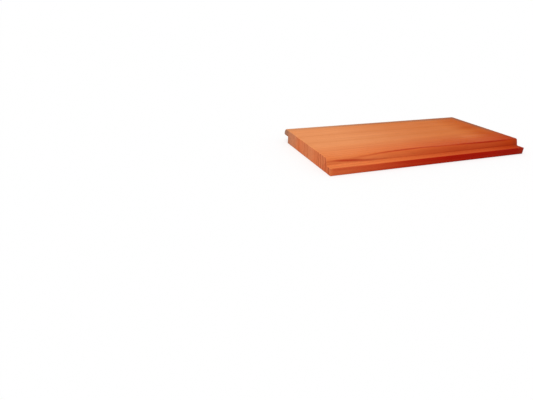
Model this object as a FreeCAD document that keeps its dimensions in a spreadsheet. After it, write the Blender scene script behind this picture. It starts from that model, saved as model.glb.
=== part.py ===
"""Lapped siding board with a bevelled shoulder, sawn and moulded from one piece of softwood.

The board lies on its back face with its weather face up. X runs along the
grain, Y across the width and Z up through the thickness. The origin is the
middle of the back face. At -Y is the thin lip that hides under the next board
of the wall, and at +Y the overlap that covers the lip of the one before.
"""

import os

import FreeCAD, Part
import Sketcher

# Millimetres. Each size can be changed by itself.
SIZES = [
    ("board_length", 304.0, "sawn end to sawn end"),
    ("board_width", 143.0, "tip of the lip to the nose of the overlap"),
    ("board_thickness", 18.0, "back face to weather face"),
    ("lip_reach", 11.0, "tip of the lip to the foot of the shoulder"),
    ("lip_thickness", 9.0, "back face to the lip's upper face"),
    ("lap_clearance", 0.5, "play over the lip where two boards lap"),
    ("expansion_gap", 2.0, "room past the lip's tip for the wood to swell"),
    ("shoulder_lean", 3.5, "how far the bevelled shoulder leans back from its foot"),
    ("shoulder_rounding", 2.5, "eased edge between the weather face and the shoulder"),
    ("shoulder_cove", 1.5, "hollow at the foot of the shoulder"),
    ("nose_rounding", 4.5, "upper edge of the overlap"),
    ("drip_rounding", 1.5, "lower edge of the overlap"),
    ("arris_rounding", 0.8, "planed corners of the lip and of the back face"),
]

# Walls that the roundings are cut in.
OVERLAP_THICKNESS = "(Sizes.board_thickness - Sizes.lip_thickness - Sizes.lap_clearance)"
SHOULDER_HEIGHT = "(Sizes.board_thickness - Sizes.lip_thickness)"
LIP_THICKNESS = "Sizes.lip_thickness"

# Feature, its size, the wall it is cut in, the largest share of that wall that it takes, and its corners.
ROUNDINGS = [
    ("NoseRounding", "nose_rounding", OVERLAP_THICKNESS, 0.6, ["nose_top"]),
    ("DripRounding", "drip_rounding", OVERLAP_THICKNESS, 0.3, ["nose_bottom"]),
    ("ShoulderRounding", "shoulder_rounding", SHOULDER_HEIGHT, 0.5, ["shoulder_top"]),
    ("ShoulderCove", "shoulder_cove", SHOULDER_HEIGHT, 0.3, ["shoulder_foot"]),
    ("Arrises", "arris_rounding", LIP_THICKNESS, 0.3, ["lip_top", "lip_bottom", "wall_bottom"]),
]

# Point positions on a sketched line, and the sketch's own axis and origin.
START = 1
END = 2
ORIGIN = (-1, 1)
HORIZONTAL_AXIS = -1

# Two points this near are the same corner.
SAME_PLACE = 1e-4


def make_sheet(doc):
    """Spreadsheet of the driving sizes, one alias a row."""
    sheet = doc.addObject("Spreadsheet::Sheet", "Sizes")
    for row, (alias, value, note) in enumerate(SIZES, start=1):
        sheet.set(f"A{row}", alias)
        sheet.set(f"B{row}", str(value))
        sheet.set(f"C{row}", note)
        sheet.setAlias(f"B{row}", alias)
    doc.recompute()
    return sheet


def section_corners(sheet):
    """Sharp corners of the section as (Y, Z), in order round the board from the lip's tip."""
    tip = -sheet.board_width / 2
    nose = sheet.board_width / 2
    wall = nose - sheet.lip_reach - sheet.expansion_gap
    foot = tip + sheet.lip_reach
    lap = sheet.lip_thickness + sheet.lap_clearance
    return {
        "lip_bottom": (tip, 0.0),
        "wall_bottom": (wall, 0.0),
        "wall_top": (wall, lap),
        "nose_bottom": (nose, lap),
        "nose_top": (nose, sheet.board_thickness),
        "shoulder_top": (foot + sheet.shoulder_lean, sheet.board_thickness),
        "shoulder_foot": (foot, sheet.lip_thickness),
        "lip_top": (tip, sheet.lip_thickness),
    }


def bind_distance(sketch, name, kind, first, second, formula):
    """Named distance from one sketch point to another, with its value bound to a formula."""
    index = sketch.addConstraint(Sketcher.Constraint(kind, *first, *second, 1.0))
    sketch.renameConstraint(index, name)
    sketch.setExpression(f"Constraints.{name}", formula)


def sketch_section(body, sheet):
    """The board's section on the YZ plane, every line held by the sheet."""
    plane = next(f for f in body.Origin.OriginFeatures if f.Role == "YZ_Plane")
    sketch = body.newObject("Sketcher::SketchObject", "Section")
    sketch.AttachmentSupport = [(plane, "")]
    sketch.MapMode = "FlatFace"

    corners = section_corners(sheet)
    points = [FreeCAD.Vector(y, z, 0) for y, z in corners.values()]
    following = points[1:] + points[:1]
    for start, end in zip(points, following):
        sketch.addGeometry(Part.LineSegment(start, end), False)
    back, wall, underside, nose, face, shoulder, land, tip = range(len(points))

    for line in range(len(points)):
        after = (line + 1) % len(points)
        sketch.addConstraint(Sketcher.Constraint("Coincident", line, END, after, START))
    for line in (underside, face, land):
        sketch.addConstraint(Sketcher.Constraint("Horizontal", line))
    for line in (wall, nose, tip):
        sketch.addConstraint(Sketcher.Constraint("Vertical", line))
    sketch.addConstraint(Sketcher.Constraint("PointOnObject", back, START, HORIZONTAL_AXIS))
    sketch.addConstraint(Sketcher.Constraint("PointOnObject", back, END, HORIZONTAL_AXIS))

    corner = {name: (line, START) for line, name in enumerate(corners)}
    lip = corner["lip_bottom"]
    for name, kind, first, second, formula in [
        ("HalfWidth", "DistanceX", lip, ORIGIN, "Sizes.board_width / 2"),
        ("Width", "DistanceX", lip, corner["nose_bottom"], "Sizes.board_width"),
        ("Thickness", "DistanceY", lip, corner["nose_top"], "Sizes.board_thickness"),
        ("LipThickness", "DistanceY", lip, corner["lip_top"], LIP_THICKNESS),
        ("LipReach", "DistanceX", lip, corner["shoulder_foot"], "Sizes.lip_reach"),
        ("ShoulderLean", "DistanceX", corner["shoulder_foot"], corner["shoulder_top"],
         "Sizes.shoulder_lean"),
        ("LapHeight", "DistanceY", lip, corner["nose_bottom"],
         "Sizes.lip_thickness + Sizes.lap_clearance"),
        ("OverlapReach", "DistanceX", corner["wall_bottom"], corner["nose_bottom"],
         "Sizes.lip_reach + Sizes.expansion_gap"),
    ]:
        bind_distance(sketch, name, kind, first, second, formula)
    return sketch


def edges_along(shape, corner):
    """Names of the edges that run the whole length of the board at one corner of its section."""
    found = []
    for number, edge in enumerate(shape.Edges, start=1):
        ends = [vertex.Point for vertex in edge.Vertexes]
        if all(abs(p.y - corner[0]) < SAME_PLACE and abs(p.z - corner[1]) < SAME_PLACE for p in ends):
            found.append(f"Edge{number}")
    return found


def round_corners(doc, body, solid, sheet):
    """Eases the moulded corners one kind at a time and returns the last feature."""
    corners = section_corners(sheet)
    for name, size, wall, share, places in ROUNDINGS:
        edges = [edge for place in places for edge in edges_along(solid.Shape, corners[place])]
        rounding = body.newObject("PartDesign::Fillet", name)
        rounding.Base = (solid, edges)
        rounding.setExpression("Radius", f"min(Sizes.{size}; {share} * {wall})")
        doc.recompute()
        solid = rounding
    return solid


def make_board(doc, sheet):
    """The whole board: its section carried along the grain, then its corners eased."""
    body = doc.addObject("PartDesign::Body", "SidingBoard")
    body.Label = "siding_board"
    section = sketch_section(body, sheet)
    blank = body.newObject("PartDesign::Pad", "Blank")
    blank.Profile = section
    blank.SideType = "Symmetric"
    blank.setExpression("Length", "Sizes.board_length")
    section.Visibility = False
    doc.recompute()
    body.Tip = round_corners(doc, body, blank, sheet)
    body.Placement = FreeCAD.Placement()
    return body


def check(doc, pieces):
    """Stops before anything is written if a feature failed or a solid isn't sound."""
    for item in doc.Objects:
        if "Invalid" in item.State or "Error" in item.State:
            raise RuntimeError(f"{item.Name} failed: {item.State}")
    for piece in pieces:
        if piece.Shape.isNull() or not piece.Shape.isValid():
            raise RuntimeError(f"{piece.Label} has no sound shape")


doc = FreeCAD.newDocument("SidingBoard")
sheet = make_sheet(doc)
pieces = [make_board(doc, sheet)]
doc.recompute()
check(doc, pieces)

os.makedirs("parts", exist_ok=True)
for piece in pieces:
    piece.Shape.exportStep(f"parts/{piece.Label}.step")
    box = piece.Shape.BoundBox
    print(f"{piece.Label}: {box.XLength:.1f} x {box.YLength:.1f} x {box.ZLength:.1f} mm")
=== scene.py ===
"""Bevelled shiplap siding board: its planed and sawn surface, its wood, and the studio it lies in."""

import math

import bpy
import numpy as np
from mathutils import Matrix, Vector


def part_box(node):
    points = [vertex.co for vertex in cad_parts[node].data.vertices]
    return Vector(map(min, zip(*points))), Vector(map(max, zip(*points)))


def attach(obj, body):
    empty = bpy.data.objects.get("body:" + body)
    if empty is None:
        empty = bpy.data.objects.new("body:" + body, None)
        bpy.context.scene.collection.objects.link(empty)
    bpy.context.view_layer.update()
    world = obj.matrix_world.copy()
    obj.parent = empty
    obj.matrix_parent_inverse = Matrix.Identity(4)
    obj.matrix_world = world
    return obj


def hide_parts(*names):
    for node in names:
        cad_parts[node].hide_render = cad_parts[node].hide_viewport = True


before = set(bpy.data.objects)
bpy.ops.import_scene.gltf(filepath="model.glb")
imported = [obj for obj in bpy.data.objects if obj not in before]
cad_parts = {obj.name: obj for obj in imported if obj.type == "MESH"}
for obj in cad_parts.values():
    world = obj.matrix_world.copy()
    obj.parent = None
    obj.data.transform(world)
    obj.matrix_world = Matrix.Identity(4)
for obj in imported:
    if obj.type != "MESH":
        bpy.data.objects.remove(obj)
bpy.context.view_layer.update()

# The siding board: one stick of resinous softwood, planed on its weather face, moulded along both
# edges so that it laps with its neighbours, and sawn to length. The near edge has a thin lip below
# a bevelled shoulder, and the far edge a rounded overlap with a rebate under it.

MM = 0.001
LIP_REACH = 11 * MM
LIP_THICKNESS = 9 * MM
LAP_CLEARANCE = 0.5 * MM
EXPANSION_GAP = 2 * MM
SHOULDER_LEAN = 3.5 * MM
SHOULDER_ROUNDING = 2.5 * MM
SHOULDER_COVE = 1.5 * MM
NOSE_ROUNDING = 4.5 * MM
DRIP_ROUNDING = 1.5 * MM
ARRIS_ROUNDING = 0.8 * MM

low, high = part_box("siding_board")
half_length = high.x
face = high.z
tip, nose = low.y, high.y
foot = tip + LIP_REACH
wall = nose - LIP_REACH - EXPANSION_GAP
underside = LIP_THICKNESS + LAP_CLEARANCE

lip_bottom = (tip, 0)
lip_top = (tip, LIP_THICKNESS)
shoulder_foot = (foot, LIP_THICKNESS)
shoulder_top = (foot + SHOULDER_LEAN, face)
nose_top = (nose, face)
nose_bottom = (nose, underside)
wall_top = (wall, underside)
wall_bottom = (wall, 0)


def straight(start, end, count):
    """Points of a straight line: the start plus a growing share of the way to the end."""
    start, end = np.array(start, float), np.array(end, float)
    return start + np.linspace(0, 1, count + 1)[:, None] * (end - start)


def eased(before, corner, after, radius, count):
    """Arc that rounds a corner: a radius swung from one tangent point to the other.

    Its centre lies on the bisector, at the radius divided by the sine of half the corner's angle.
    """
    before, corner, after = np.array(before), np.array(corner), np.array(after)
    inward = (before - corner) / np.linalg.norm(before - corner)
    onward = (after - corner) / np.linalg.norm(after - corner)
    half = math.acos(inward @ onward) / 2
    bisector = (inward + onward) / np.linalg.norm(inward + onward)
    centre = corner + bisector * radius / math.sin(half)
    first = corner + inward * radius / math.tan(half) - centre
    last = corner + onward * radius / math.tan(half) - centre
    from_angle = math.atan2(first[1], first[0])
    turn = (math.atan2(last[1], last[0]) - from_angle + math.pi) % (2 * math.pi) - math.pi
    angles = from_angle + turn * np.linspace(0, 1, count + 1)
    return centre + radius * np.column_stack([np.cos(angles), np.sin(angles)])


def joined(*stretches):
    """One path out of several that follow each other, each shared end point kept once."""
    return np.concatenate([stretch[:-1] for stretch in stretches[:-1]] + [stretches[-1]])


# Two paths run from the lip's tip to the nose, one over the board and one under it, with as many
# points each. On the sawn ends a column of points joins each pair, and the columns from the rebate's
# wall lean inwards, so that none of them leaves the wood.
TIP_STEPS, ARRIS_STEPS, LIP_STEPS, COVE_STEPS, SLOPE_STEPS, ROUND_STEPS = 3, 5, 12, 5, 14, 8
FACE_STEPS, WALL_STEPS, UNDERSIDE_STEPS, DRIP_STEPS, NOSE_STEPS = 112, 8, 11, 6, 9
OVERLAP_STEPS = UNDERSIDE_STEPS + DRIP_STEPS - NOSE_STEPS
WALL_COLUMNS_FROM, WALL_COLUMNS_TO = 16 * MM, 5 * MM

tip_middle = (tip, LIP_THICKNESS / 2)
nose_middle = (nose, (underside + DRIP_ROUNDING + face - NOSE_ROUNDING) / 2)
beside_wall = (wall - WALL_COLUMNS_FROM, face)
beside_rebate = (wall - WALL_COLUMNS_TO, face)

lip_bottom_arc = eased(lip_top, lip_bottom, wall_bottom, ARRIS_ROUNDING, ARRIS_STEPS)
lip_top_arc = eased(lip_bottom, lip_top, shoulder_foot, ARRIS_ROUNDING, ARRIS_STEPS)
cove_arc = eased(lip_top, shoulder_foot, shoulder_top, SHOULDER_COVE, COVE_STEPS)
shoulder_arc = eased(shoulder_foot, shoulder_top, nose_top, SHOULDER_ROUNDING, ROUND_STEPS)
wall_arc = eased(lip_bottom, wall_bottom, wall_top, ARRIS_ROUNDING, ARRIS_STEPS)
drip_arc = eased(wall_top, nose_bottom, nose_top, DRIP_ROUNDING, DRIP_STEPS)
nose_arc = eased(shoulder_top, nose_top, nose_bottom, NOSE_ROUNDING, NOSE_STEPS)

over = joined(
    straight(tip_middle, lip_top_arc[0], TIP_STEPS),
    lip_top_arc,
    straight(lip_top_arc[-1], cove_arc[0], LIP_STEPS),
    cove_arc,
    straight(cove_arc[-1], shoulder_arc[0], SLOPE_STEPS),
    shoulder_arc,
    straight(shoulder_arc[-1], beside_wall, FACE_STEPS),
    straight(beside_wall, beside_rebate, ARRIS_STEPS + WALL_STEPS),
    straight(beside_rebate, nose_arc[0], OVERLAP_STEPS),
    nose_arc,
    straight(nose_arc[-1], nose_middle, TIP_STEPS),
)
lip_start = TIP_STEPS + ARRIS_STEPS
face_start = lip_start + LIP_STEPS + COVE_STEPS + SLOPE_STEPS + ROUND_STEPS
below_shoulder = over[lip_start:face_start + 1] * (1, 0)
under = joined(
    straight(tip_middle, lip_bottom_arc[0], TIP_STEPS),
    lip_bottom_arc,
    below_shoulder,
    straight(below_shoulder[-1], wall_arc[0], FACE_STEPS),
    wall_arc,
    straight(wall_arc[-1], wall_top, WALL_STEPS),
    straight(wall_top, drip_arc[0], UNDERSIDE_STEPS),
    drip_arc,
    straight(drip_arc[-1], nose_middle, TIP_STEPS),
)

# The section closed into a ring, and the way outwards at each of its points.
columns = len(over)
ring = np.concatenate([under, over[-2:0:-1]])
around = len(ring)
along_ring = np.roll(ring, -1, axis=0) - np.roll(ring, 1, axis=0)
along_ring /= np.linalg.norm(along_ring, axis=1)[:, None]
outwards = np.column_stack([along_ring[:, 1], -along_ring[:, 0]])

# The saw left an uneven arris round each end, with small chips where fibres tore out of it.
SAWN_ARRIS = 0.25 * MM
ARRIS_UNEVENNESS = 0.5
ARRIS_WAVES = np.array([2.3, 4.1, 7.7, 13.0]) * MM
CHIPS_PER_END = 9
CHIP_REACH = (0.3 * MM, 0.6 * MM)
CHIP_WIDTH = (0.8 * MM, 2.2 * MM)
ARRIS_SEED = 5
END_ZONE = 6 * MM
END_STATIONS, MIDDLE_STATIONS = 13, 146

# Knocks have rounded the left end's corners at the nose and in the rebate: place, reach and spread.
KNOCKS = [
    (nose_top, 2.0 * MM, 4.5 * MM),
    ((wall, underside / 2), 0.6 * MM, 5.0 * MM),
]

middle = half_length - END_ZONE
near_end = middle + END_ZONE * (1 - np.linspace(1, 0, END_STATIONS) ** 2)
between = np.linspace(-middle, middle, MIDDLE_STATIONS)[1:-1]
stations = np.concatenate([-near_end[::-1], between, near_end])
ring_length = np.concatenate([[0], np.cumsum(np.linalg.norm(np.diff(ring, axis=0), axis=1))])


def arris_reach(draw):
    """Reach of the arris round the section: its mean plus sine waves of random phase, or a deeper chip."""
    phases = draw.uniform(0, 2 * math.pi, len(ARRIS_WAVES))
    waves = np.sin(2 * math.pi * ring_length[:, None] / ARRIS_WAVES + phases).mean(1)
    reach = SAWN_ARRIS * (1 + 2 * ARRIS_UNEVENNESS * waves)
    places = draw.uniform(0, ring_length[-1], CHIPS_PER_END)
    widths, depths = draw.uniform(*CHIP_WIDTH, CHIPS_PER_END), draw.uniform(*CHIP_REACH, CHIPS_PER_END)
    chips = depths * np.exp(-((ring_length[:, None] - places) / widths) ** 2)
    return np.maximum(reach, chips.max(1))


def knocked(reach):
    """Reach of the arris, or a knock's where that is deeper: a bell of the distance from its place."""
    for place, depth, spread in KNOCKS:
        away = np.linalg.norm(ring - place, axis=1)
        reach = np.maximum(reach, depth * np.exp(-(away / spread) ** 2))
    return reach


def carried(path, normals, places, inset):
    """The section carried along the grain: each point's Y and Z, less an inset along its normal."""
    moved = path[None] - inset[..., None] * normals[None]
    along = np.broadcast_to(places[:, None, None], moved.shape[:2] + (1,))
    return np.concatenate([along, moved], -1)


# Every arris is a quarter round: nothing is taken off where it starts, and its whole reach at the end.
draw = np.random.default_rng(ARRIS_SEED)
left_reach, right_reach = knocked(arris_reach(draw)), arris_reach(draw)
reach_there = np.where(stations[:, None] < 0, left_reach[None], right_reach[None])
into_arris = np.maximum(reach_there - (half_length - np.abs(stations))[:, None], 0)
taken_off = reach_there - np.sqrt(reach_there ** 2 - into_arris ** 2)
skin = carried(ring, outwards, stations, taken_off)


# A sawn end is filled with upright columns of points between the two paths. Round the tip and the
# nose a rim of the section's own points, as many as a column has, takes the place of the outer ones.
RIM_COLUMNS = TIP_STEPS + NOSE_STEPS
END_ROWS = 2 * RIM_COLUMNS


def sawn_end(station, first_free):
    """Index grid and free points of a sawn end: a column is a straight line, evenly shared out."""
    inner = np.arange(RIM_COLUMNS, columns - RIM_COLUMNS)
    lower_index = station * around + inner
    upper_index = station * around + around - inner
    corners = skin.reshape(-1, 3)
    share = np.linspace(0, 1, END_ROWS + 1)[None, :, None]
    grid = corners[lower_index][:, None] * (1 - share) + corners[upper_index][:, None] * share
    index = np.empty(grid.shape[:2], int)
    index[:, 0], index[:, -1] = lower_index, upper_index
    free = grid[:, 1:-1].reshape(-1, 3)
    index[:, 1:-1] = first_free + np.arange(len(free)).reshape(len(inner), END_ROWS - 1)
    tip_rim = station * around + np.arange(RIM_COLUMNS, -RIM_COLUMNS - 1, -1) % around
    nose_rim = station * around + inner[-1] + np.arange(END_ROWS + 1)
    return np.concatenate([tip_rim[None], index, nose_rim[None]]), free


def quads(index):
    """Corners of an index grid's quads, turning from its first direction to its second."""
    return np.stack([index[:-1, :-1], index[1:, :-1], index[1:, 1:], index[:-1, 1:]], -1).reshape(-1, 4)


def end_faces(index):
    """A sawn end's faces, turned towards +X: a quad with two corners in one place is a triangle."""
    faces = quads(index)
    doubled = faces == np.roll(faces, -1, axis=1)
    pinched = doubled.any(1)
    return [faces[~pinched], faces[pinched][~doubled[pinched]].reshape(-1, 3)]


free_from = len(stations) * around
left_index, left_points = sawn_end(0, free_from)
right_index, right_points = sawn_end(len(stations) - 1, free_from + len(left_points))
points = np.concatenate([skin.reshape(-1, 3), left_points, right_points])

skin_index = np.arange(free_from).reshape(len(stations), around)
long_faces = quads(np.concatenate([skin_index, skin_index[:, :1]], 1))[:, ::-1]
cut_faces = end_faces(right_index) + [faces[:, ::-1] for faces in end_faces(left_index)]
all_faces = long_faces.tolist() + [corner for faces in cut_faces for corner in faces.tolist()]

# The tree in it. The pith ran along the grain past the overlap and below the back face, so the
# growth rings stand nearly upright at the lip and curl at the overlap. Every colour of the wood is
# worked out once, in the round, so that faces, edges and sawn ends agree.

PITH_Y, PITH_Z = 92 * MM, -20 * MM
PITH_WANDER = 1.4 * MM
PITH_WAVES_Y = [(0.42, 0.1), (0.19, 0.55)]
PITH_WAVES_Z = [(0.36, 0.7), (0.15, 0.2)]
RING_WIDTH = 4.5 * MM
RING_SPREAD = 0.9 * MM
RING_COUNT = 48
RINGS_PAST_LIP = 12
RINGS_BY_SHOULDER = np.array([4.7, 5.9, 6.0, 6.5, 6.1, 8.2, 9.5]) * MM
VIGOUR_BY_SHOULDER = [0.5, 0.7, 1.0, 0.9, 0.8, 0.9, 1.0, 0.9]
LEAST_VIGOUR = 0.30
SHOULDER_RINGS_FROM = 122.0 * MM
RIPPLE = 0.35 * MM
RIPPLE_LENGTHS = (0.21, 0.05, 0.017)
RING_SEED = 11

# A bud or thin branch swelled the rings here, by the right end.
SPOT_PLACE = (126, 8, 18)
SPOT_REACH = (17, 10, 12)
SPOT_SWELLING = 3.5 * MM

# Places where the plane cut the rings flat: place and reach in millimetres, and how much deeper the
# orange is there.
FLAT_CUTS = [
    (SPOT_PLACE, SPOT_REACH, 0.12),
    ((93, -30, 18), (22, 7, 12), -0.20),
    ((132, -19, 18), (16, 9, 12), 0.14),
]


def sway(x, reach, waves):
    """Slow sideways drift along the grain: the mean of a few sine waves of given length and phase."""
    rows = [np.sin(2 * math.pi * (x / length + phase)) for length, phase in waves]
    return reach * sum(rows) / len(waves)


def rings_of_the_tree():
    """Radii at which the years end, and how dark their late wood is, from 0 to 1.

    Widths and vigour are drawn at random, and those seen beside the shoulder are set in.
    """
    draw = np.random.default_rng(RING_SEED)
    widths = RING_WIDTH + RING_SPREAD * draw.uniform(-1, 1, RING_COUNT)
    vigour = draw.uniform(LEAST_VIGOUR, 1, RING_COUNT)
    radii = np.cumsum(widths)
    inside = radii < SHOULDER_RINGS_FROM - RING_WIDTH / 2
    outside = inside.sum() + np.arange(RINGS_PAST_LIP)
    beside = SHOULDER_RINGS_FROM + np.concatenate([[0], np.cumsum(RINGS_BY_SHOULDER)])
    all_radii = np.concatenate([[0], radii[inside], beside, beside[-1] + np.cumsum(widths[outside])])
    return all_radii, np.concatenate([[0], vigour[inside], VIGOUR_BY_SHOULDER, vigour[outside]])


def nearness(x, y, z, place, reach):
    """Nearness to a place: a bell, one at its middle, that fades over its reach, in millimetres."""
    offsets = zip((x, y, z), place, reach)
    return np.exp(-sum(((value / MM - centre) / fade) ** 2 for value, centre, fade in offsets))


def tree_distance(x, y, z):
    """Distance from the wandering pith, with a slow ripple and the swelling added."""
    centre_y = PITH_Y + sway(x, PITH_WANDER, PITH_WAVES_Y)
    centre_z = PITH_Z + sway(x, 2 * PITH_WANDER, PITH_WAVES_Z)
    long_wave, wide_wave, deep_wave = RIPPLE_LENGTHS
    ripple = RIPPLE * np.sin(2 * math.pi * (z / deep_wave + y / wide_wave + x / long_wave))
    swelling = SPOT_SWELLING * nearness(x, y, z, SPOT_PLACE, SPOT_REACH)
    return np.hypot(y - centre_y, z - centre_z) + ripple + swelling


def tree_years(x, y, z):
    """Year of growth and its vigour: the distance from the pith, read off the rings' radii."""
    radii, vigour = rings_of_the_tree()
    distance = tree_distance(x, y, z)
    return np.interp(distance, radii, np.arange(len(radii))), np.interp(distance, radii, vigour)


# At these places along the board: how deep the orange has gone, how much deeper it is on the
# overlap, the share of red on the shoulder and lip, and how much less of it the slope has. The depth
# along the board is partly the wood's colour and partly painted light: a painted sheen and stronger
# light make the left end paler, and the light's falloff makes the right end deeper.
GRAIN_PLACES = np.array([-152, -130, -90, -45, 0, 45, 90, 130, 152]) * MM
DEPTH_AND_FALLOFF_THERE = [0.0, 0.0, 0.04, 0.22, 0.43, 0.56, 0.66, 0.92, 1.0]
OVERLAP_DEPTH = [0.14, 0.14, 0.14, 0.14, 0.14, 0.10, -0.03, -0.06, -0.06]
RED_THERE = [0.72, 0.66, 0.87, 0.95, 1.0, 1.0, 0.93, 0.80, 0.77]
SLOPE_LESS_RED = [0.0, 0.0, 0.15, 0.06, 0.0, 0.0, 0.0, 0.0, 0.0]

# Across the board: where the overlap's depth and the red come in.
OVERLAP_DEPTH_FROM, OVERLAP_DEPTH_WHOLE = 46 * MM, 58 * MM
RED_FROM, RED_WHOLE = -5 * MM, -60 * MM

# The left sawn end has shares of red of its own at these places across it, from here on outwards.
LEFT_END_RED = [0.50, 0.75, 0.36, 0.36, 0.42, 0.42, 0.12, 0.0, 0.18, 0.42, 0.0]
LEFT_END_RED_PLACES = np.array([-71.5, -60, -52, -44, -38, -30, -20, -10, 5, 19, 32]) * MM
LEFT_END_FROM, LEFT_END_WHOLE = -151.2 * MM, -151.9 * MM

# Places down the shoulder and on over the lip are measured along the surface: Y, less a share of the
# depth below the face. The shoulder's slope has its middle and its reach here.
SHOULDER_RUN = 0.7
SLOPE_MIDDLE, SLOPE_REACH = -64 * MM, 3.4 * MM


def surface_run(y, z):
    """Place along the surface, from the weather face down the shoulder and out over the lip."""
    return y - SHOULDER_RUN * (face - z)


def smooth_step(value, start, end):
    """Share of the way from start to end, held at 0 and 1: three of its squares less two of its cubes."""
    share = np.clip((value - start) / (end - start), 0, 1)
    return share * share * (3 - 2 * share)


def depth_and_falloff(x, y, z):
    """Depth of the orange, 0 pale to 1 deep: that along the grain, the overlap's and the flat cuts'."""
    on_overlap = smooth_step(y, OVERLAP_DEPTH_FROM, OVERLAP_DEPTH_WHOLE)
    overlap = np.interp(x, GRAIN_PLACES, OVERLAP_DEPTH) * on_overlap
    cuts = sum(more * nearness(x, y, z, place, reach) for place, reach, more in FLAT_CUTS)
    # The depth along the grain is partly painted light: paler at the left end, deeper where it falls off.
    return np.interp(x, GRAIN_PLACES, DEPTH_AND_FALLOFF_THERE) + overlap + cuts


def slope_nearness(y, z):
    """Nearness to the shoulder's slope: a bell across it, of the place along the surface."""
    return np.exp(-((surface_run(y, z) - SLOPE_MIDDLE) / SLOPE_REACH) ** 2)


def redness(x, y, z):
    """Share of red resin: none on the overlap's half, and nearly whole on the shoulder and the lip.

    The sum is the share along the grain, less the slope's, and on the left sawn end that end's own.
    """
    along = smooth_step(y, RED_FROM, RED_WHOLE) * np.interp(x, GRAIN_PLACES, RED_THERE)
    along -= np.interp(x, GRAIN_PLACES, SLOPE_LESS_RED) * slope_nearness(y, z)
    on_left_end = smooth_step(x, LEFT_END_FROM, LEFT_END_WHOLE)
    return along + on_left_end * (np.interp(y, LEFT_END_RED_PLACES, LEFT_END_RED) - along)


# Darker bands of the weather face: where they run across the width at the places along the
# grain, half their width, and their depth. Inside the wood they follow the rings.
BAND_PLACES = np.array([-152, -75, 0, 75, 110, 152]) * MM
BANDS = [
    ([48, 49, 50, 46.5, 47, 47], 3.0, 0.3),
    ([26, 27, 28.3, 27.5, 24, 22], 4.2, 0.65),
    ([-2.5, -1.5, 0.2, 0.8, 4.5, 12], 4.0, 0.75),
    ([-25, -22, -24, -23, -21, -21.5], 2.6, 0.35),
    ([-34, -37, -31, -33, -36, -35], 3.0, 0.25),
]


def band_depth(x, y, z):
    """Depth of the bands: a bell across each one's line, added up, where the ring meets the face."""
    rise = face - PITH_Z
    radius = np.hypot(y - PITH_Y, z - PITH_Z)
    at_face = PITH_Y - np.sqrt(np.maximum(radius ** 2 - rise ** 2, 0))
    total = np.zeros_like(x)
    for centres, half_width, depth in BANDS:
        centre = np.interp(x, BAND_PLACES, np.array(centres) * MM)
        total += depth * np.exp(-((at_face - centre) / (half_width * MM)) ** 2)
    return total


# Dark streaks by the shoulder: places along the grain, and the place along the surface, half width
# and strength at each. The first climbs to the shoulder's upper edge, the second drops to its foot,
# the third is short and faint by the left end, and the last is broad and faint. The first and third are
# resin. The second is resin by the left end and further on painted shade in the cove at the shoulder's
# foot, and the last is painted shade from that cove spread over the slope.
STREAKS_AND_COVE_SHADE = [
    ([-152, -125, -110, -95, -80, -65, -50, -35, -10, 15, 40, 55, 85, 100, 130, 152],
     [-61.5, -61.5, -60.4, -59.2, -57.7, -56.7, -56.0, -55.5,
      -54.8, -55.9, -56.2, -56.3, -56.8, -57.2, -56.8, -56.2],
     [1.1, 1.1, 1.1, 1.2, 1.3, 1.4, 1.5, 1.6, 1.5, 1.5, 1.5, 1.6, 1.6, 1.5, 1.4, 1.3],
     [0.10, 0.25, 0.30, 0.36, 0.50, 0.72, 0.82, 0.84, 0.72, 0.56, 0.62, 0.86, 0.95, 0.95, 0.80, 0.15]),
    ([-152, -145, -138, -130, -115, -100, -85, -60, -30, 0, 60, 152],
     [-62.0, -61.8, -61.8, -62.3, -63.1, -64.6, -65.2, -65.3, -65.3, -65.3, -65.3, -65.3],
     [1.1, 1.1, 1.2, 1.5, 1.7, 1.4, 1.1, 1.0, 1.1, 1.1, 1.1, 1.1],
     [0.25, 0.45, 0.65, 0.80, 0.76, 0.58, 0.42, 0.22, 0.28, 0.28, 0.42, 0.32]),
    ([-152, -138, -128],
     [-65.4, -65.4, -65.4],
     [0.8, 0.8, 0.8],
     [0.18, 0.18, 0.0]),
    ([-152, -60, 0, 60, 90, 152],
     [-62.3, -62.3, -62.3, -62.3, -62.3, -62.3],
     [2.8, 2.8, 2.8, 2.8, 2.8, 2.8],
     [0.0, 0.06, 0.14, 0.22, 0.18, 0.05]),
]
# Heartwood fills the lip's tip: its share at these places along the grain, and where it comes in.
HEART_PLACES = np.array([-152, -148, -140, -90, -45, 0, 45, 152]) * MM
HEART_THERE = [0.28, 0.50, 0.53, 0.66, 0.87, 0.93, 0.98, 1.0]
HEART_FROM, HEART_WHOLE = -69.0 * MM, -71.4 * MM
HEART_TILT = 0.08


def streak_and_shade_depth(x, y, z):
    """Share of dark red: the strongest of the streaks' bells and of the heartwood in the lip's tip.

    The heartwood is a little stronger at the lip's upper face, and weaker at the back.
    Along the cove at the shoulder's foot and up the slope from it, two of the bells are painted shade.
    """
    run = surface_run(y, z)
    heart = np.interp(x, HEART_PLACES, HEART_THERE) + HEART_TILT * (2 * z / LIP_THICKNESS - 1)
    strongest = heart * smooth_step(y, HEART_FROM, HEART_WHOLE)
    for places, centres, half_widths, strengths in STREAKS_AND_COVE_SHADE:
        places = np.array(places) * MM
        centre = np.interp(x, places, np.array(centres) * MM)
        half_width = np.interp(x, places, np.array(half_widths) * MM)
        strength = np.interp(x, places, strengths)
        strongest = np.maximum(strongest, strength * np.exp(-((run - centre) / half_width) ** 2))
    return strongest
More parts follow.
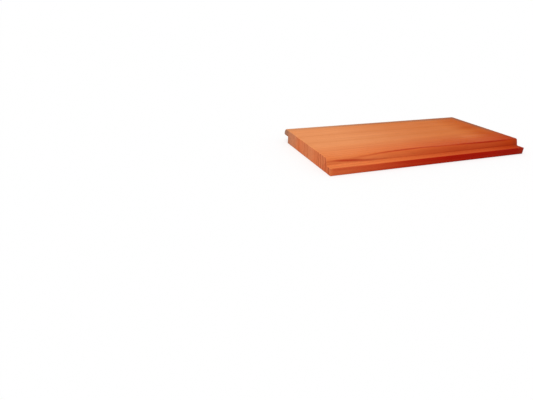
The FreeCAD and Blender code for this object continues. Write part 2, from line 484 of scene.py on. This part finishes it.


# The wood is darker and greyer on the rounded nose, over the last of the right end, on the left sawn
# end towards the nose, at the back, and a little on the shoulder's slope. On the nose this is greyish
# brown wood together with painted shade where the rounding faces away from the lamp. At the back it is
# painted contact shadow along the bottom edges, and on the slope it is partly painted shade of the cove.
NOSE_DARKENED = [0.30, 0.35, 0.50, 0.60, 0.66, 0.70]
NOSE_DARKENED_FROM = np.array([52, 53, 56, 56, 52, 52]) * MM
NOSE_DARKENED_PLACES = np.array([-152, -120, -60, 0, 90, 152]) * MM
# Over the last of the right end, and on the left sawn end towards the nose: darker and greyer.
RIGHT_END_DARKENED = [0.25, 0.50, 0.50, 0.80]
RIGHT_END_DARKENED_PLACES = np.array([-71.5, -68, -20, 0]) * MM
LEFT_END_DARKENED = [0.0, 0.0, 0.18, 0.15, 0.0, 0.0, 0.20, 0.34, 0.60, 0.85]
LEFT_END_DARKENED_PLACES = np.array([-71.5, -68, -65, -59, -54, 22, 36, 50, 60, 70]) * MM
# At the back: painted contact shadow along the bottom edges, where the board lies on the floor.
BACK_PAINTED_SHADE = 0.35
# On the slope: partly painted shade from the cove at the shoulder's foot, partly duller wood.
SLOPE_DARKENED = [0.0, 0.0, 0.15, 0.11, 0.08, 0.12, 0.02, 0.0, 0.0]
NOSE_DARKENED_WHOLE = 65.5 * MM
RIGHT_END_FROM, RIGHT_END_WHOLE = 138 * MM, 149 * MM
BACK_FROM, BACK_WHOLE = 1.2 * MM, 0.2 * MM


def darkening(x, y, z):
    """Share of darker, greyer colour: the largest of five, each a level fading in over a stretch of its
    own.
    """
    # Greyish wood on the nose and darker ends, and painted shade on the nose, at the back and on the
    # slope.
    nose_from = np.interp(x, NOSE_DARKENED_PLACES, NOSE_DARKENED_FROM)
    nose_level = np.interp(x, NOSE_DARKENED_PLACES, NOSE_DARKENED)
    nose_share = nose_level * smooth_step(y, nose_from, NOSE_DARKENED_WHOLE)
    right_level = np.interp(y, RIGHT_END_DARKENED_PLACES, RIGHT_END_DARKENED)
    right_share = right_level * smooth_step(x, RIGHT_END_FROM, RIGHT_END_WHOLE)
    left_level = np.interp(y, LEFT_END_DARKENED_PLACES, LEFT_END_DARKENED)
    left_share = left_level * smooth_step(x, LEFT_END_FROM, LEFT_END_WHOLE)
    back_share = BACK_PAINTED_SHADE * smooth_step(z, BACK_FROM, BACK_WHOLE)
    slope_share = np.interp(x, GRAIN_PLACES, SLOPE_DARKENED) * slope_nearness(y, z)
    return np.max([nose_share, right_share, left_share, back_share, slope_share], axis=0)


# The skin takes the first material, planed, and the two ends the second, sawn. The arris between
# them is a crease.
CREASE_ANGLE = math.radians(35)

mesh = bpy.data.meshes.new("siding_board_surface")
mesh.from_pydata(points.tolist(), [], all_faces)
x, y, z = points.T
year_there, vigour_there = tree_years(x, y, z)
for name, values in {
    "year": year_there,
    "vigour": vigour_there,
    "depth": depth_and_falloff(x, y, z),
    "red": redness(x, y, z),
    "band": band_depth(x, y, z),
    "streak_and_shade": streak_and_shade_depth(x, y, z),
    "darkened": darkening(x, y, z),
}.items():
    mesh.attributes.new(name, "FLOAT", "POINT").data.foreach_set("value", values.astype(np.float32))

mesh.polygons.foreach_set("use_smooth", np.ones(len(all_faces), bool))
on_sawn_end = np.arange(len(all_faces)) >= len(long_faces)
mesh.polygons.foreach_set("material_index", on_sawn_end.astype(np.int32))
mesh.update()
mesh.set_sharp_from_angle(angle=CREASE_ANGLE)
board = bpy.data.objects.new("siding_board_surface", mesh)
bpy.context.scene.collection.objects.link(board)
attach(board, "root")
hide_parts("siding_board")


def put(tree, kind, inputs=None, **settings):
    """Adds a node, with its settings, and gives each named input a value or joins it to a socket."""
    node = tree.nodes.new("ShaderNode" + kind)
    for name, value in settings.items():
        setattr(node, name, value)
    for name, value in (inputs or {}).items():
        if isinstance(value, bpy.types.NodeSocket):
            tree.links.new(value, node.inputs[name])
        else:
            node.inputs[name].default_value = value
    return node


def worked(tree, operation, first, second=0.0):
    """One step of arithmetic on two values."""
    return put(tree, "Math", {0: first, 1: second}, operation=operation).outputs[0]


def swing(tree, noise, reach):
    """A noise that runs from 0 to 1, turned into one that swings round 0 by the reach at most."""
    return worked(tree, "MULTIPLY", worked(tree, "SUBTRACT", noise, 0.5), 2 * reach)


def spread(tree, value, start, end, to_start=0.0, to_end=1.0):
    """A value's place between two others, eased at both ends and held there."""
    limits = {"From Min": start, "From Max": end, "To Min": to_start, "To Max": to_end}
    return put(tree, "MapRange", {"Value": value, **limits}, interpolation_type="SMOOTHSTEP").outputs[0]


def attribute(tree, name):
    """One of the values laid on the surface above."""
    return put(tree, "Attribute", attribute_name=name).outputs["Fac"]


def grain(tree, place, per_metre, detail):
    """Streaky noise: so many waves to the metre along X, Y and Z."""
    stretched = put(tree, "VectorMath", {0: place, 1: per_metre}, operation="MULTIPLY").outputs[0]
    settings = {"Vector": stretched, "Scale": 1.0, "Detail": detail, "Roughness": 0.6}
    return put(tree, "TexNoise", settings).outputs["Fac"]


def ladder(tree, value, *steps):
    """A colour read off a row of colours, each at its own place from 0 to 1."""
    node = put(tree, "ValToRGB", {"Fac": value})
    colours = node.color_ramp.elements
    while len(colours) < len(steps):
        colours.new(1.0)
    for element, (at, colour) in zip(colours, steps):
        element.position = at
        element.color = colour
    return node.outputs["Color"]


def blended(tree, share, first, second, blend="MIX"):
    """Two colours mixed by a share, or the second laid over the first in another way of mixing."""
    node = put(tree, "Mix", {0: share, 6: first, 7: second}, data_type="RGBA", blend_type=blend)
    return node.outputs[2]


# Softwood as both cuts show it. Early wood is pale and orange, late wood a thin redder line that
# ends each year, and resin makes the wood by the shoulder and in the lip's tip red and dark. The same
# dark red also paints the shade in the cove at the shoulder's foot and on the slope above it.

PALE_ORANGE = (0.83, 0.308, 0.120, 1)
WARM_ORANGE = (0.64, 0.168, 0.037, 1)
DEEP_ORANGE = (0.54, 0.098, 0.008, 1)
PALE_RED = (0.81, 0.195, 0.052, 1)
DEEP_RED = (0.46, 0.024, 0.001, 1)
# The heart colours also paint the shade in the cove at the shoulder's foot.
PALE_HEART_AND_SHADE = (0.45, 0.008, 0.001, 1)
DARK_HEART_AND_SHADE = (0.31, 0.007, 0.001, 1)
# Darker, greyer colours: of the wood, and of painted shade at the back, on the nose and on the slope.
DARKENED_GREY = (0.33, 0.24, 0.16, 1)
DARKENED_BROWN = (0.29, 0.10, 0.05, 1)
DARKENED_RED = (0.33, 0.026, 0.001, 1)
LATE_TINT = (0.58, 0.38, 0.34, 1)
BAND_TINT = (0.95, 0.89, 0.83, 1)
FIBRE_TINT = (0.80, 0.66, 0.58, 1)
PORE_TINT = (0.55, 0.36, 0.30, 1)

# Waves to the metre along X, Y and Z.
COARSE_GRAIN = (9, 240, 240)
FINE_GRAIN = (60, 1700, 1700)
MOTTLE = (14, 60, 60)
PORES = (110, 2600, 2600)

# A year runs from 0 to 1. Late wood grows over these shares of it and ends with the year, and a
# faint false ring lies in the early wood.
LATE_WOOD_GROWS = (0.42, 0.88)
LATE_WOOD_ENDS = (0.96, 1.0)
FALSE_RING_GROWS = (0.10, 0.24)
FALSE_RING_ENDS = (0.28, 0.36)

WARM_ORANGE_PLACE = 0.7
FIBRE_LIMITS = (0.35, 0.65)
PORE_LIMITS = (0.70, 0.78)
RING_WAVER = 0.18
MOTTLE_DEPTH = 0.10
RAGGED_EDGE = 0.25
DARKENED_PATCHES = 0.5
FALSE_RING = 0.35

softwood = bpy.data.node_groups.new("softwood", "ShaderNodeTree")
for name in ("Late wood", "Fibres", "Pores"):
    softwood.interface.new_socket(name=name, in_out="INPUT", socket_type="NodeSocketFloat")
softwood.interface.new_socket(name="Colour", in_out="OUTPUT", socket_type="NodeSocketColor")
for name in ("Late line", "Fibre", "Pore"):
    softwood.interface.new_socket(name=name, in_out="OUTPUT", socket_type="NodeSocketFloat")
given = softwood.nodes.new("NodeGroupInput").outputs
place = put(softwood, "TexCoord").outputs["Object"]
coarse = grain(softwood, place, COARSE_GRAIN, 3)
fine = grain(softwood, place, FINE_GRAIN, 2)

year = worked(softwood, "ADD", attribute(softwood, "year"), swing(softwood, coarse, RING_WAVER))
season = worked(softwood, "FRACT", year)
growing = spread(softwood, season, *LATE_WOOD_GROWS)
resting = spread(softwood, season, *LATE_WOOD_ENDS, 1.0, 0.0)
line = worked(softwood, "MULTIPLY", growing, resting)
false_growing = spread(softwood, season, *FALSE_RING_GROWS)
false_resting = spread(softwood, season, *FALSE_RING_ENDS, 1.0, 0.0)
false_ring = worked(softwood, "MULTIPLY", false_growing, false_resting)
line = worked(softwood, "MAXIMUM", line, worked(softwood, "MULTIPLY", false_ring, FALSE_RING))
late_line = worked(softwood, "MULTIPLY", line, attribute(softwood, "vigour"))

mottle = swing(softwood, grain(softwood, place, MOTTLE, 2), MOTTLE_DEPTH)
depth = worked(softwood, "ADD", attribute(softwood, "depth"), mottle)
redness_there = attribute(softwood, "red")
oranges = [(0.0, PALE_ORANGE), (WARM_ORANGE_PLACE, WARM_ORANGE), (1.0, DEEP_ORANGE)]
orange = ladder(softwood, depth, *oranges)
red = blended(softwood, depth, PALE_RED, DEEP_RED)
colour = blended(softwood, redness_there, orange, red)
colour = blended(softwood, attribute(softwood, "band"), colour, BAND_TINT, "MULTIPLY")
late_share = worked(softwood, "MULTIPLY", late_line, given["Late wood"])
colour = blended(softwood, late_share, colour, LATE_TINT, "MULTIPLY")
ragged = worked(softwood, "ADD", swing(softwood, coarse, RAGGED_EDGE), 1.0)
# The dark heart colour laid here is resin and heartwood, and along the cove painted shade.
streak_and_shade_share = worked(softwood, "MULTIPLY", attribute(softwood, "streak_and_shade"), ragged)
heart = blended(softwood, depth, PALE_HEART_AND_SHADE, DARK_HEART_AND_SHADE)
colour = blended(softwood, streak_and_shade_share, colour, heart)
# Darker, greyer colour mixed in: painted shade at the back, on the nose and on the slope, greyer wood
# elsewhere.
darkened_orange = blended(softwood, depth, DARKENED_GREY, DARKENED_BROWN)
darkened = blended(softwood, redness_there, darkened_orange, DARKENED_RED)
patchy = worked(softwood, "ADD", swing(softwood, coarse, DARKENED_PATCHES), 1.0)
darkened_share = worked(softwood, "MULTIPLY", attribute(softwood, "darkened"), patchy)
colour = blended(softwood, darkened_share, colour, darkened)

fine_half = worked(softwood, "MULTIPLY", fine, 0.5)
coarse_half = worked(softwood, "MULTIPLY", coarse, 0.5)
fibre = worked(softwood, "ADD", fine_half, coarse_half)
fibre_there = spread(softwood, fibre, *FIBRE_LIMITS)
fibre_share = worked(softwood, "MULTIPLY", fibre_there, given["Fibres"])
colour = blended(softwood, fibre_share, colour, FIBRE_TINT, "MULTIPLY")
pore = spread(softwood, grain(softwood, place, PORES, 1), *PORE_LIMITS)
pore_share = worked(softwood, "MULTIPLY", pore, given["Pores"])
colour = blended(softwood, pore_share, colour, PORE_TINT, "MULTIPLY")
made = softwood.nodes.new("NodeGroupOutput")
for name, value in (("Colour", colour), ("Late line", late_line), ("Fibre", fibre), ("Pore", pore)):
    softwood.links.new(value, made.inputs[name])


# Bare wood has hardly any gloss, and its fibres break up what there is.
BARE_WOOD_SPECULAR = 0.02
ROUGHNESS_SWING = 0.07
ROUGHNESS_LIMITS = (0.3, 0.7)
LATE_WOOD_HEIGHT = 0.6


def cut_of_wood(name, tint, roughness, late_wood, fibres, pores):
    """Softwood under one kind of tool: how far its late wood, fibres and pores show, tint and roughness.

    Late wood stands up, fibres lift and pores sink: their sum is the height that comes back.
    """
    material = bpy.data.materials.new(name)
    material.use_nodes = True
    tree = material.node_tree
    shader = tree.nodes["Principled BSDF"]
    wood = put(tree, "Group", node_tree=softwood)
    for socket, value in (("Late wood", late_wood), ("Fibres", fibres), ("Pores", pores)):
        wood.inputs[socket].default_value = value
    tinted = blended(tree, 1.0, wood.outputs["Colour"], tint, "MULTIPLY")
    tree.links.new(tinted, shader.inputs["Base Color"])
    rougher, smoother = roughness + ROUGHNESS_SWING, roughness - ROUGHNESS_SWING
    rough = spread(tree, wood.outputs["Fibre"], *ROUGHNESS_LIMITS, rougher, smoother)
    tree.links.new(rough, shader.inputs["Roughness"])
    shader.inputs["Specular IOR Level"].default_value = BARE_WOOD_SPECULAR
    mesh.materials.append(material)
    late_height = worked(tree, "MULTIPLY", wood.outputs["Late line"], LATE_WOOD_HEIGHT)
    raised = worked(tree, "ADD", wood.outputs["Fibre"], late_height)
    return tree, worked(tree, "SUBTRACT", raised, wood.outputs["Pore"])


def raise_grain(tree, height, strength, distance):
    """Joins a height to the material's normal through a bump."""
    bump = put(tree, "Bump", {"Strength": strength, "Distance": distance, "Height": height})
    tree.links.new(bump.outputs[0], tree.nodes["Principled BSDF"].inputs["Normal"])


# The planed face and the moulded edges: late wood shows faintly, and the fibres are pressed flat.
PLANED_TINT = (1.035, 1.07, 1.04, 1)
PLANED_ROUGHNESS = 0.60
PLANED_BUMP = 0.5
PLANED_RELIEF = 0.06 * MM
planed_shows = {"late_wood": 0.22, "fibres": 0.42, "pores": 0.8}
tree, height = cut_of_wood("planed_softwood", PLANED_TINT, PLANED_ROUGHNESS, **planed_shows)
raise_grain(tree, height, PLANED_BUMP, PLANED_RELIEF)

# The sawn ends show the cells end on, which soak up light and make them darker and redder. Thin
# rays run out from the pith, and the saw left shallow slanting marks.
SAWN_TINT = (0.92, 0.84, 0.90, 1)
SAWN_ROUGHNESS = 0.78
SAWN_BUMP = 0.7
SAWN_RELIEF = 0.2 * MM
RAYS = (1, 70, 1500)
RAY_HEIGHT = 0.5
SAW_MARKS = (1, 90, 420)
SAW_SLANT = math.radians(62)
sawn_shows = {"late_wood": 0.85, "fibres": 0.35, "pores": 0.4}
tree, height = cut_of_wood("sawn_end_grain", SAWN_TINT, SAWN_ROUGHNESS, **sawn_shows)
place = put(tree, "TexCoord").outputs["Object"]
rays = worked(tree, "MULTIPLY", grain(tree, place, RAYS, 2), RAY_HEIGHT)
slanted = put(tree, "VectorRotate", {"Vector": place, "Angle": SAW_SLANT}, rotation_type="X_AXIS")
saw_marks = grain(tree, slanted.outputs[0], SAW_MARKS, 1)
height = worked(tree, "ADD", height, worked(tree, "ADD", rays, saw_marks))
raise_grain(tree, height, SAWN_BUMP, SAWN_RELIEF)

# The studio: a white floor under plain daylight from all round, and a broad soft lamp high up in
# front of the board on its left.

FLOOR_REACH = 8.0
FLOOR_WHITE = 1.0
FLOOR_GLOW = 0.6
SKY_LEVEL = 0.6
LAMP_LEVEL = 1.35
LAMP_SPREAD = math.radians(60)
LAMP_TILT = math.radians(22)
LAMP_BEARING = math.radians(-62)

floor_mesh = bpy.data.meshes.new("studio_floor")
floor_signs = ((-1, -1), (1, -1), (1, 1), (-1, 1))
floor_corners = [(side * FLOOR_REACH, end * FLOOR_REACH, low.z) for side, end in floor_signs]
floor_mesh.from_pydata(floor_corners, [], [(0, 1, 2, 3)])
floor = bpy.data.objects.new("studio_floor", floor_mesh)
bpy.context.scene.collection.objects.link(floor)


def seen_straight(tree):
    """One where the camera, a reflection or clear stuff looks at a thing, and nothing elsewhere."""
    path = put(tree, "LightPath").outputs
    mirrored = worked(tree, "MAXIMUM", path["Is Glossy Ray"], path["Is Transmission Ray"])
    return worked(tree, "MAXIMUM", path["Is Camera Ray"], mirrored)


paint = bpy.data.materials.new("studio_white")
paint.use_nodes = True
tree = paint.node_tree
tree.nodes.clear()
matt = put(tree, "BsdfDiffuse", {"Color": (FLOOR_WHITE, FLOOR_WHITE, FLOOR_WHITE, 1)}).outputs[0]
glow = put(tree, "Emission", {"Color": (1, 1, 1, 1), "Strength": 1.0}).outputs[0]
share = worked(tree, "MULTIPLY", seen_straight(tree), FLOOR_GLOW)
surface = put(tree, "MixShader", {0: share, 1: matt, 2: glow}).outputs[0]
put(tree, "OutputMaterial", {"Surface": surface})
floor_mesh.materials.append(paint)

world = bpy.data.worlds.new("studio_daylight")
world.use_nodes = True
bpy.context.scene.world = world
tree = world.node_tree
tree.nodes.clear()
daylight = put(tree, "Background", {"Color": (1, 1, 1, 1), "Strength": SKY_LEVEL}).outputs[0]
backdrop = put(tree, "Background", {"Color": (1, 1, 1, 1), "Strength": 1.0}).outputs[0]
surface = put(tree, "MixShader", {0: seen_straight(tree), 1: daylight, 2: backdrop}).outputs[0]
put(tree, "OutputWorld", {"Surface": surface})

lamp = bpy.data.lights.new("studio_lamp", "SUN")
lamp.energy = LAMP_LEVEL
lamp.angle = LAMP_SPREAD
lamp_stand = bpy.data.objects.new("studio_lamp", lamp)
lamp_stand.rotation_euler = (LAMP_TILT, 0, LAMP_BEARING)
bpy.context.scene.collection.objects.link(lamp_stand)

# The camera stands low in front of the board's left end and looks down along it to the right.

CAMERA_PLACE = np.array([-368.5, -440.5, 173.0]) * MM
CAMERA_TURN = math.radians(20.52)
CAMERA_DIP = math.radians(26.06)
CAMERA_ROLL = math.radians(-1.83)
CAMERA_LENS = 26.36
CAMERA_SENSOR = 36.0
CAMERA_NEAR = 10 * MM

sight = Matrix.Rotation(-CAMERA_TURN, 4, "Z") @ Matrix.Rotation(math.pi / 2 - CAMERA_DIP, 4, "X")
lens = bpy.data.cameras.new("camera")
lens.lens = CAMERA_LENS
lens.sensor_width = CAMERA_SENSOR
lens.clip_start = CAMERA_NEAR
camera = bpy.data.objects.new("camera", lens)
camera.matrix_world = Matrix.Translation(CAMERA_PLACE) @ sight @ Matrix.Rotation(-CAMERA_ROLL, 4, "Z")
bpy.context.scene.collection.objects.link(camera)
bpy.context.scene.camera = camera
bpy.context.scene.view_settings.view_transform = "Standard"
